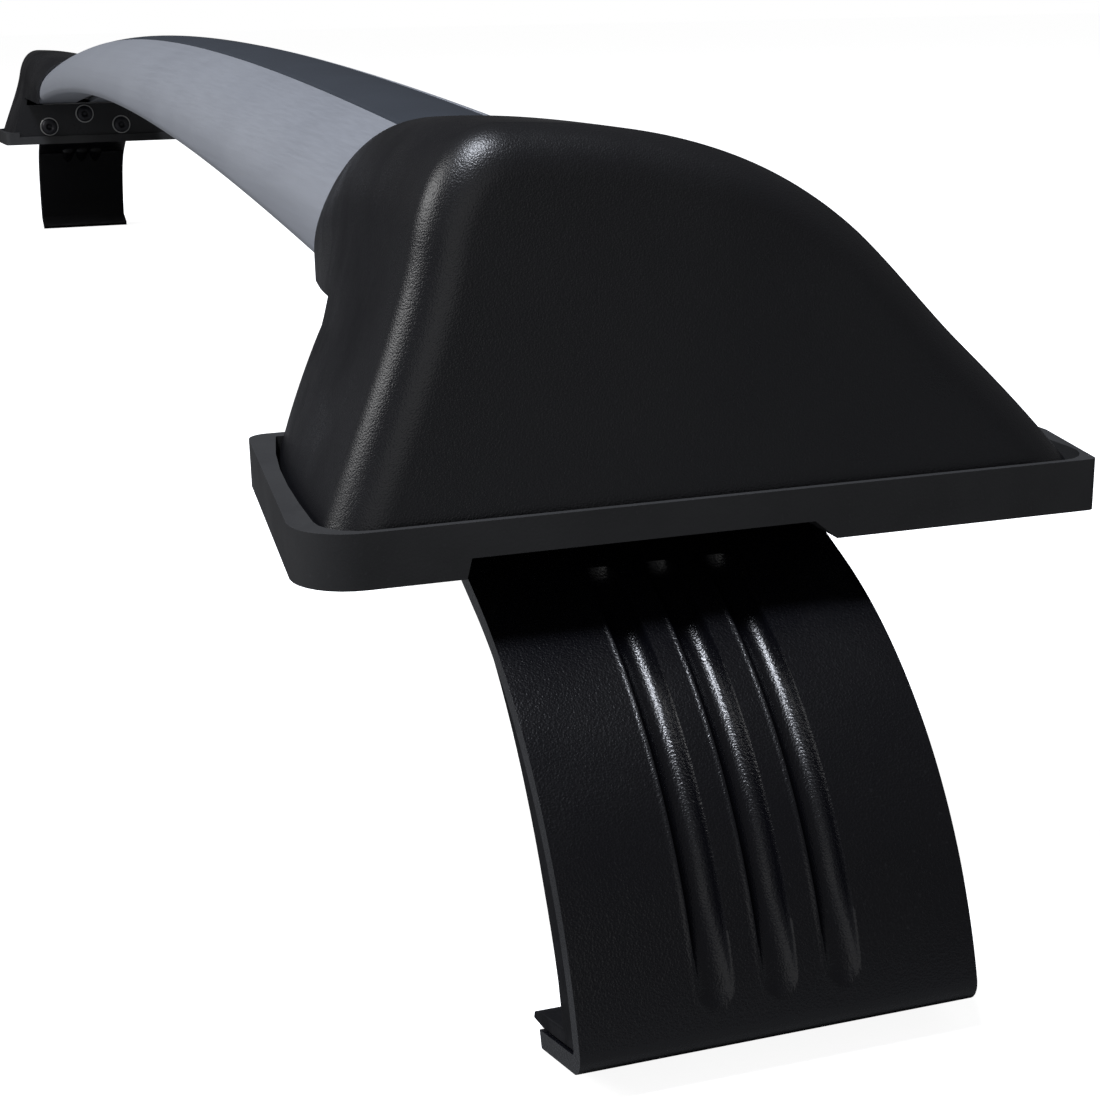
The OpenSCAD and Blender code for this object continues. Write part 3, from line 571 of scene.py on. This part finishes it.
# %% Join the two skins into one shell
def shell(name, side):
    rows = skin(0, GAP + LIP) + skin(COVER_WALL, GAP)
    points = [p for row in rows for p in row]
    n, m = POINTS, LAST_ROW

    def at(layer, row, i):
        kept = min(row, SIDE_ROWS + EDGE_ROWS) if i in (0, n) else row
        return (layer * (m + 1) + kept) * (n + 1) + i
    quads = []
    for r in range(m):
        for i in range(n):
            quads.append((at(0, r, i), at(0, r, i + 1), at(0, r + 1, i + 1), at(0, r + 1, i)))
            quads.append((at(1, r, i), at(1, r + 1, i), at(1, r + 1, i + 1), at(1, r, i + 1)))
    for i in range(n):
        quads.append((at(0, 0, i), at(1, 0, i), at(1, 0, i + 1), at(0, 0, i + 1)))
        quads.append((at(0, m, i), at(0, m, i + 1), at(1, m, i + 1), at(1, m, i)))
    for r in range(SIDE_ROWS + EDGE_ROWS):
        quads.append((at(0, r, 0), at(0, r + 1, 0), at(1, r + 1, 0), at(1, r, 0)))
        quads.append((at(0, r, n), at(1, r, n), at(1, r + 1, n), at(0, r + 1, n)))
    faces = []
    for q in quads:
        f = [v for k, v in enumerate(q) if v != q[k - 1]]
        if len(f) > 2:
            faces.append(tuple(f))
    piece = new_piece(name, points, faces, side)
    tidy = bmesh.new()
    tidy.from_mesh(piece.data)
    bmesh.ops.delete(tidy, geom=[v for v in tidy.verts if not v.link_faces], context="VERTS")
    bmesh.ops.recalc_face_normals(tidy, faces=tidy.faces)
    tidy.to_mesh(piece.data)
    tidy.free()
    return piece


# %% [markdown]
# Under the collar the shell is cut away, and a moulded wall closes the foot below the bar. The
# wall has three holes: two for the clamp bolts and one, higher, for the cover's own screw.

# %% Build both covers
WALL_TOP = belly(FOOT_IN + COVER_WALL) - GAP
LIP_Z = belly(MOUTH) - LIP - GAP
for label, side in SIDES.items():
    cover = shell(f"{label}_cover_shell", side)
    relief_outline = [(MOUTH - 5, LIP_Z), (MOUTH, LIP_Z), (FOOT_IN, LIP_Z + 3), (FOOT_IN, -1),
                      (MOUTH - 5, -1)]
    cut(cover, [prism("relief", relief_outline, -110, 110, "y", side)])
    inner = inset(skin_row(FOOT_IN + COVER_WALL / 2, 0, GAP + LIP), COVER_WALL / 2)
    inner = [p for p in inner if p[1] < WALL_TOP]
    wall = prism("wall", inner, FOOT_IN, FOOT_IN + COVER_WALL, "x", side)
    holes = [rod("hole", y, z, BOLT_D / 2 + 0.3, FOOT_IN - 1, FOOT_IN + COVER_WALL + 1, side)
             for y, z in ((-BOLT_PITCH / 2, BOLT_Z), (BOLT_PITCH / 2, BOLT_Z), (0, SCREW_Z))]
    cut(wall, holes)
    cut(cover, [wall], join=True)
    smooth(cover, 34)
    round_edges(cover, 0.35, 50, 2)
    finish_piece(cover, "rack", cover_plastic, "cover_plastic", f"{label}_cover")
    print(cover.name, len(cover.data.polygons), "faces")

# %% [markdown]
# ## The clamp strap
# A blank of steel is pressed with three round grooves, bent to the curve of the door frame and
# folded into a hook. A sheet of points does the same: each station on the bent line has an outer
# and an inner point, and the grooves push both along the normal. Booleans would leave the grooves
# with hard rims, and the real ones are known by their light, so the rims are part of the sheet.

# %% Stations along the bent strap
EAR_X = FOOT_IN + COVER_WALL + 0.1 + 3 + 7
EAR_TOP, EAR_BEND, BEND_R = BOLT_Z + 6.2, 2, 12
EAR_C = (EAR_X + STRAP_T + EAR_BEND, STRAP_TOP + EAR_BEND)
RUN_END = (CURVE_C[0] + STRAP_R * cosd(CURVE_TOP), CURVE_C[1] + STRAP_R * sind(CURVE_TOP))
RUN_L = (STRAP_TOP - BEND_R * (1 - sind(CURVE_TOP)) - RUN_END[1]) / cosd(CURVE_TOP)
BEND_C = (RUN_END[0] - RUN_L * sind(CURVE_TOP) - BEND_R * cosd(CURVE_TOP), STRAP_TOP - BEND_R)


def strap_stations(curve_steps):
    """(outer point, inner point, distance along the long curve or None)."""
    out = []
    for i in range(7):
        z = EAR_TOP + (EAR_C[1] - EAR_TOP) * i / 7
        out.append(((EAR_X + STRAP_T, z), (EAR_X, z), None))

    def turn(c, outer, inner, a0, a1, n, first=0):
        for i in range(first, n + 1):
            a = a0 + (a1 - a0) * i / n
            out.append(((c[0] + outer * cosd(a), c[1] + outer * sind(a)),
                        (c[0] + inner * cosd(a), c[1] + inner * sind(a)), None))
    turn(EAR_C, EAR_BEND, EAR_BEND + STRAP_T, 180, 270, 10)
    for i in range(1, 6):
        x = EAR_C[0] + (BEND_C[0] - EAR_C[0]) * i / 6
        out.append(((x, STRAP_TOP), (x, STRAP_TOP - STRAP_T), None))
    turn(BEND_C, BEND_R, BEND_R - STRAP_T, 90, CURVE_TOP, 8)
    a, b = out[-1][:2]
    outer, inner = STRAP_R, STRAP_R - STRAP_T
    end = [(CURVE_C[0] + r * cosd(CURVE_TOP), CURVE_C[1] + r * sind(CURVE_TOP)) for r in (outer, inner)]
    for i in range(1, 22):
        t = i / 22
        out.append((tuple(a[k] + (end[0][k] - a[k]) * t for k in (0, 1)),
                    tuple(b[k] + (end[1][k] - b[k]) * t for k in (0, 1)), -(1 - t) * RUN_L))
    for i in range(curve_steps + 1):
        g = CURVE_TOP + (CURVE_END - CURVE_TOP) * i / curve_steps
        out.append(((CURVE_C[0] + outer * cosd(g), CURVE_C[1] + outer * sind(g)),
                    (CURVE_C[0] + inner * cosd(g), CURVE_C[1] + inner * sind(g)),
                    math.radians(CURVE_TOP - g) * STRAP_R))
    turn(FOLD_C, FOLD_R, FOLD_R - STRAP_T, CURVE_END, HOOK_SLOPE - 90, 16, 1)
    a, b = out[-1][:2]
    for i in range(1, 11):
        t = HOOK_L * i / 10
        out.append(((a[0] + t * LEG_DIR[0], a[1] + t * LEG_DIR[1]),
                    (b[0] + t * LEG_DIR[0], b[1] + t * LEG_DIR[1]), None))
    return out


# %% Grooves pressed into the strap
GROOVE_W, GROOVE_D, GROOVE_PITCH, GROOVE_SHIFT = 5, 2, 9.3, -0.1
GROOVE_R = ((GROOVE_W / 2) ** 2 + GROOVE_D ** 2) / (2 * GROOVE_D)
GROOVE_OUT = GROOVE_R - GROOVE_D
GROOVE_START, GROOVE_STOP = -1.5, math.radians(CURVE_TOP - 18.5) * STRAP_R
GROOVE_SHELF, RUN_OUT_FROM, RUN_OUT_L = 0.3, 12, 13
LIP_OUT, LIP_W, LIP_RISE = 0.3, 0.32, 0.13


def groove_depth(s):
    """Share of the full depth: a groove gets shallower towards its round lower end."""
    run_out = min(1.0, max(0.0, (s - GROOVE_STOP + RUN_OUT_FROM) / RUN_OUT_L))
    return 1 - (1 - GROOVE_SHELF) * run_out ** 2 * (3 - 2 * run_out)


def sink_at(y, s, radius, depth_off, lip=0.0):
    """How far the grooves push the surface in, or how far a lip beside one stands out."""
    over = max(0.0, GROOVE_START - s, s - GROOVE_STOP)
    edge, push, rise = math.sqrt(radius * radius - depth_off * depth_off), 0.0, 0.0
    for k in (-1, 0, 1):
        off = y - (k * GROOVE_PITCH + GROOVE_SHIFT)
        rho = math.hypot(off, over)
        if rho < edge:
            push = max(push, math.sqrt(radius * radius - rho * rho) - depth_off)
        if over < edge and off < 0:
            rise = max(rise, lip * math.exp(-((rho - edge - LIP_OUT) / LIP_W) ** 2))
    return groove_depth(s) * (push if push > 0 else -rise)


def strap_sheet(name, side):
    stations = strap_stations(100)
    fine, coarse = GROOVE_PITCH / 42, 2.0
    ys, y, fine_from = [-STRAP_W / 2], -STRAP_W / 2, GROOVE_SHIFT - 68 * fine
    while y < STRAP_W / 2 - 1e-6:
        step_to = y + (fine if fine_from <= y + 1e-9 < -fine_from else coarse)
        y = min(STRAP_W / 2, fine_from if y < fine_from - 1e-9 < step_to else step_to)
        ys.append(y)
    n = len(ys)
    points = []
    for layer in (0, 1):
        shape = ((GROOVE_R + STRAP_T, GROOVE_OUT + STRAP_T, 0.0) if layer
                 else (GROOVE_R, GROOVE_OUT, LIP_RISE))
        for outer, inner, s in stations:
            normal = Vector((outer[0] - inner[0], outer[1] - inner[1])).normalized()
            base = inner if layer else outer
            for y in ys:
                push = 0.0 if s is None else sink_at(y, s, *shape)
                points.append((base[0] - push * normal.x, y, base[1] - push * normal.y))
    rows = len(stations)

    def at(layer, r, i):
        return (layer * rows + r) * n + i
    faces = []
    for r in range(rows - 1):
        for i in range(n - 1):
            faces.append((at(0, r, i), at(0, r, i + 1), at(0, r + 1, i + 1), at(0, r + 1, i)))
            faces.append((at(1, r, i), at(1, r + 1, i), at(1, r + 1, i + 1), at(1, r, i + 1)))
        faces.append((at(0, r, 0), at(0, r + 1, 0), at(1, r + 1, 0), at(1, r, 0)))
        faces.append((at(0, r, n - 1), at(1, r, n - 1), at(1, r + 1, n - 1), at(0, r + 1, n - 1)))
    for i in range(n - 1):
        faces.append((at(0, 0, i), at(1, 0, i), at(1, 0, i + 1), at(0, 0, i + 1)))
        faces.append((at(0, rows - 1, i), at(0, rows - 1, i + 1), at(1, rows - 1, i + 1),
                      at(1, rows - 1, i)))
    piece = new_piece(name, points, faces, side)
    tidy = bmesh.new()
    tidy.from_mesh(piece.data)
    bmesh.ops.recalc_face_normals(tidy, faces=tidy.faces)
    tidy.to_mesh(piece.data)
    tidy.free()
    return piece


# %% Build both straps
for label, side in SIDES.items():
    strap = strap_sheet(f"{label}_strap_steel", side)
    gap = [(-BOLT_PITCH / 2 + 9, EAR_C[1] + 1), (BOLT_PITCH / 2 - 9, EAR_C[1] + 1),
           (BOLT_PITCH / 2 - 9, 30), (-BOLT_PITCH / 2 + 9, 30)]
    cutters = [prism("gap", gap, EAR_X - 1, EAR_X + STRAP_T + 1, "x", side)]
    cutters += [rod("bore", y, BOLT_Z, BOLT_D / 2 + 0.06, EAR_X - 1, EAR_X + STRAP_T + 1, side)
                for y in (-BOLT_PITCH / 2, BOLT_PITCH / 2)]
    cut(strap, cutters)
    smooth(strap, 38)
    round_edges(strap, 0.4, 62, 3)
    finish_piece(strap, f"{label}_clamp", powder_coat, "coated_steel", f"{label}_clamp_strap")
    print(strap.name, len(strap.data.polygons), "faces")

# %% [markdown]
# ## Pads, liners and the folded plates
# Where the CAD solid's shape is already right, a clean copy of it is enough: its triangles are
# merged back into whole faces, and a bevel gives the moulded or bent edge that catches the light.

# %% Clean copies with rounded edges
def dressed(node, name, body, finish, slot, edge_mm, angle=35, segments=3, flat=1.0):
    source = nodes[node]
    tidy = bmesh.new()
    tidy.from_mesh(source.data)
    bmesh.ops.remove_doubles(tidy, verts=tidy.verts, dist=2e-6)
    bmesh.ops.dissolve_limit(tidy, angle_limit=math.radians(flat), verts=tidy.verts, edges=tidy.edges)
    mesh = bpy.data.meshes.new(name)
    tidy.to_mesh(mesh)
    tidy.free()
    piece = bpy.data.objects.new(name, mesh)
    bpy.context.scene.collection.objects.link(piece)
    smooth(piece, 30)
    round_edges(piece, edge_mm, angle, segments)
    return finish_piece(piece, body, finish, slot, node)


for label in SIDES:
    dressed(f"{label}_base_pad", f"{label}_pad_rubber", "rack", pad_rubber, "pad_rubber", 0.6)
    dressed(f"{label}_strap_liner", f"{label}_liner_rubber", f"{label}_clamp", liner_rubber,
            "liner_rubber", 0.3)
    dressed(f"{label}_foot_bracket", f"{label}_bracket_plate", "rack", plated_steel, "plated_steel", 0.4)
    dressed(f"{label}_nut_plate", f"{label}_slot_nut_plate", "rack", plated_steel, "plated_steel", 0.4)
print("Pads, liners, brackets and nut plates are dressed")

# %% [markdown]
# ## Bolts, nuts and washers
# The bolts' heads show on the inner side of each foot, as small dull buttons with a hexagon
# socket. Turned parts are profiles spun round an axis, with a chamfer at every edge. Threads are
# rings of ridges: at this size nobody can tell them from a helix, and they stay light.

# %% Turned parts
def spun(name, profile, centre, axis_to, steps, side, sockets):
    """profile is (distance along the axis, radius). Rows in sockets are made hexagons."""
    x0, y0, z0 = centre
    points, faces, n = [], [], steps
    along = Vector(axis_to).normalized()
    across = along.cross(Vector((0, 1, 0)))
    across.normalize()
    up = along.cross(across)
    for k, (d, r) in enumerate(profile):
        for i in range(n):
            a = 360 * i / n
            rr = min(r, sockets[k] * cosd(30) / cosd((a % 60) - 30)) if k in sockets else r
            p = Vector((x0, y0, z0)) + along * d + across * rr * cosd(a) + up * rr * sind(a)
            points.append(tuple(p))
    for k in range(len(profile) - 1):
        for i in range(n):
            faces.append((k * n + i, k * n + (i + 1) % n, (k + 1) * n + (i + 1) % n, (k + 1) * n + i))
    faces.append(tuple(range(n)))
    faces.append(tuple(reversed(range((len(profile) - 1) * n, len(profile) * n))))
    piece = new_piece(name, points, faces, side)
    tidy = bmesh.new()
    tidy.from_mesh(piece.data)
    bmesh.ops.recalc_face_normals(tidy, faces=tidy.faces)
    tidy.to_mesh(piece.data)
    tidy.free()
    return piece


def thread(start, end, r, pitch=1.0):
    rows, d = [], start
    while d + pitch < end - 0.6:
        rows += [(d, r - 0.04), (d + 0.45 * pitch, r - 0.42), (d + 0.55 * pitch, r - 0.42)]
        d += pitch
    return rows + [(end - 0.8, r - 0.1), (end, r - 0.8)]


HEAD_R, HEAD_H = 5.25, 3.3
HEAD_X = FOOT_IN - 1.3


def button(name, y, z, length, side):
    """Button-headed screw along X with a hexagon socket."""
    dome = [(-HEAD_H, 2.5), (-HEAD_H, 2.9), (-HEAD_H + 0.25, 3.5)]
    dome += [(-HEAD_H + 0.25 + 2.45 * (1 - cosd(a)), 3.5 + 1.75 * sind(a)) for a in range(15, 91, 15)]
    profile = [(-0.6, 1.0), (-1.3, 2.2), (-HEAD_H + 0.25, 2.31)] + dome
    profile += [(-0.15, HEAD_R), (0, HEAD_R - 0.15), (0, 3.0), (2.0, 2.96)] + thread(2.5, length, 3.0)
    sockets = {0: 1.2, 1: 2.31, 2: 2.31}
    return spun(name, profile, (HEAD_X, y, z), (1, 0, 0), 48, side, sockets)


# %% Place the clamp bolts and the cover screws
for label, side in SIDES.items():
    for where_at, y in (("front", -BOLT_PITCH / 2), ("rear", BOLT_PITCH / 2)):
        bolt = button(f"{label}_{where_at}_bolt", y, BOLT_Z, 36, side)
        smooth(bolt, 30)
        finish_piece(bolt, f"{label}_{where_at}_bolt", bolt_steel, "bolt_steel",
                     f"{label}_clamp_bolt_{where_at}")
    screw = button(f"{label}_screw", 0, SCREW_Z, 12, side)
    smooth(screw, 30)
    finish_piece(screw, "rack", bolt_steel, "bolt_steel", f"{label}_cover_screw")
    for kind, node, body, finish, slot in (
            ("washers", "bolt_washers", "rack", plated_steel, "plated_steel"),
            ("nuts", "clamp_nuts", f"{label}_clamp", plated_steel, "plated_steel"),
            ("bar_screws", "bar_bolts", "rack", bolt_steel, "bolt_steel"),
            ("bar_screw_washers", "bar_washers", "rack", plated_steel, "plated_steel")):
        dressed(f"{label}_{node}", f"{label}_{kind}_turned", body, finish, slot, 0.2, 50, 2)

# %% [markdown]
# ## Floor, light and camera
# The rack stands on its hooks on a plain white floor. A small bright lamp hangs high over the near
# foot and a little to its left: the grain on the cover's rounded edge and the grooves glitter in
# it. A wider one lights the bar's side and the far foot, and a weak one stands behind the camera.
# Light Path makes the floor and the sky white to the camera alone. What the black pieces mirror is
# dim, as in a dark hall, so that they stay black.

# %% Floor and sky
WHITE_FLOOR, DIM_FLOOR = (0.88, 0.88, 0.88), (0.20, 0.20, 0.20)
floor_mesh = bpy.data.meshes.new("studio_floor")
floor_mesh.from_pydata([(-60, -60, 0), (60, -60, 0), (60, 60, 0), (-60, 60, 0)], [], [(0, 1, 2, 3)])
floor = bpy.data.objects.new("studio_floor", floor_mesh)
bpy.context.scene.collection.objects.link(floor)
floor_paint = bpy.data.materials.new("white floor")
floor_paint.use_nodes = True
floor_tree = floor_paint.node_tree
paint = floor_tree.nodes["Principled BSDF"]
paint.inputs["Roughness"].default_value = 0.9
paint.inputs["Specular IOR Level"].default_value = 0.1
paint.inputs["Emission Color"].default_value = (1, 1, 1, 1)
seen = floor_tree.nodes.new("ShaderNodeLightPath")
floor_tree.links.new(math_node(floor_tree, "MULTIPLY", seen.outputs["Is Camera Ray"], 0.9),
                     paint.inputs["Emission Strength"])
floor_tree.links.new(mixed(floor_tree, seen.outputs["Is Camera Ray"], DIM_FLOOR, WHITE_FLOOR),
                     paint.inputs["Base Color"])
floor_mesh.materials.append(floor_paint)

sky = bpy.data.worlds.new("soft sky")
bpy.context.scene.world = sky
sky.use_nodes = True
sky_tree = sky.node_tree
glow = sky_tree.nodes["Background"]
seen = sky_tree.nodes.new("ShaderNodeLightPath")
direct = math_node(sky_tree, "MAXIMUM", seen.outputs["Is Camera Ray"], seen.outputs["Is Transmission Ray"])
soft = ramp(sky_tree, seen.outputs["Is Glossy Ray"], 0.0, 1.0, 0.10, 0.11)
sky_tree.links.new(math_node(sky_tree, "MAXIMUM", direct, soft), glow.inputs["Strength"])
glow.inputs["Color"].default_value = (1, 1, 1, 1)


# %% Lamps
def lamp(name, at, aim, width, height, watts, colour=(1, 1, 1)):
    light = bpy.data.lights.new(name, "AREA")
    light.shape, light.size, light.size_y = "RECTANGLE", width, height
    light.energy, light.color = watts, colour
    holder = bpy.data.objects.new(name, light)
    bpy.context.scene.collection.objects.link(holder)
    holder.location = at
    holder.rotation_mode = "QUATERNION"
    holder.rotation_quaternion = (Vector(at) - Vector(aim)).to_track_quat("Z", "Y")
    return holder


lamp("window", (0.80, -0.72, 2.26), (0.5, 0, 0.1), 0.55, 0.45, 62, (0.87, 0.91, 1.0))
lamp("side light", (-0.1, -1.3, 0.8), (-0.35, 0, 0.08), 1.1, 0.6, 10)
lamp("fill", (2.2, -0.6, 0.5), (0.5, 0, 0.05), 1.6, 1.0, 2.5)

# %% [markdown]
# The camera was found from the photograph's straight and curved edges: a long lens, 1850 pixels
# of focal length on a 1100 pixel square, close to the near foot and looking down the bar.

# %% Camera
EYE = Vector((0.800543, (-95.63 + LINE_Y) / 1000, (73.035 + BASE_Z) / 1000))
YAW, PITCH, ROLL, FOCAL = -0.309, 0.279, -0.02, 1850
look = Vector((-math.cos(YAW) * math.cos(PITCH), -math.sin(YAW) * math.cos(PITCH), -math.sin(PITCH)))
level_right = look.cross(Vector((0, 0, 1))).normalized()
level_up = level_right.cross(look)
cam_right = math.cos(ROLL) * level_right + math.sin(ROLL) * level_up
cam_up = -math.sin(ROLL) * level_right + math.cos(ROLL) * level_up
lens = bpy.data.cameras.new("photo lens")
lens.sensor_width, lens.lens = 36, FOCAL / 1100 * 36
lens.clip_start, lens.clip_end = 0.01, 200
eye = bpy.data.objects.new("camera", lens)
bpy.context.scene.collection.objects.link(eye)
eye.matrix_world = Matrix(((cam_right.x, cam_up.x, -look.x, EYE.x), (cam_right.y, cam_up.y, -look.y, EYE.y),
                           (cam_right.z, cam_up.z, -look.z, EYE.z), (0, 0, 0, 1)))
bpy.context.scene.camera = eye
bpy.context.scene.view_settings.view_transform = "Standard"
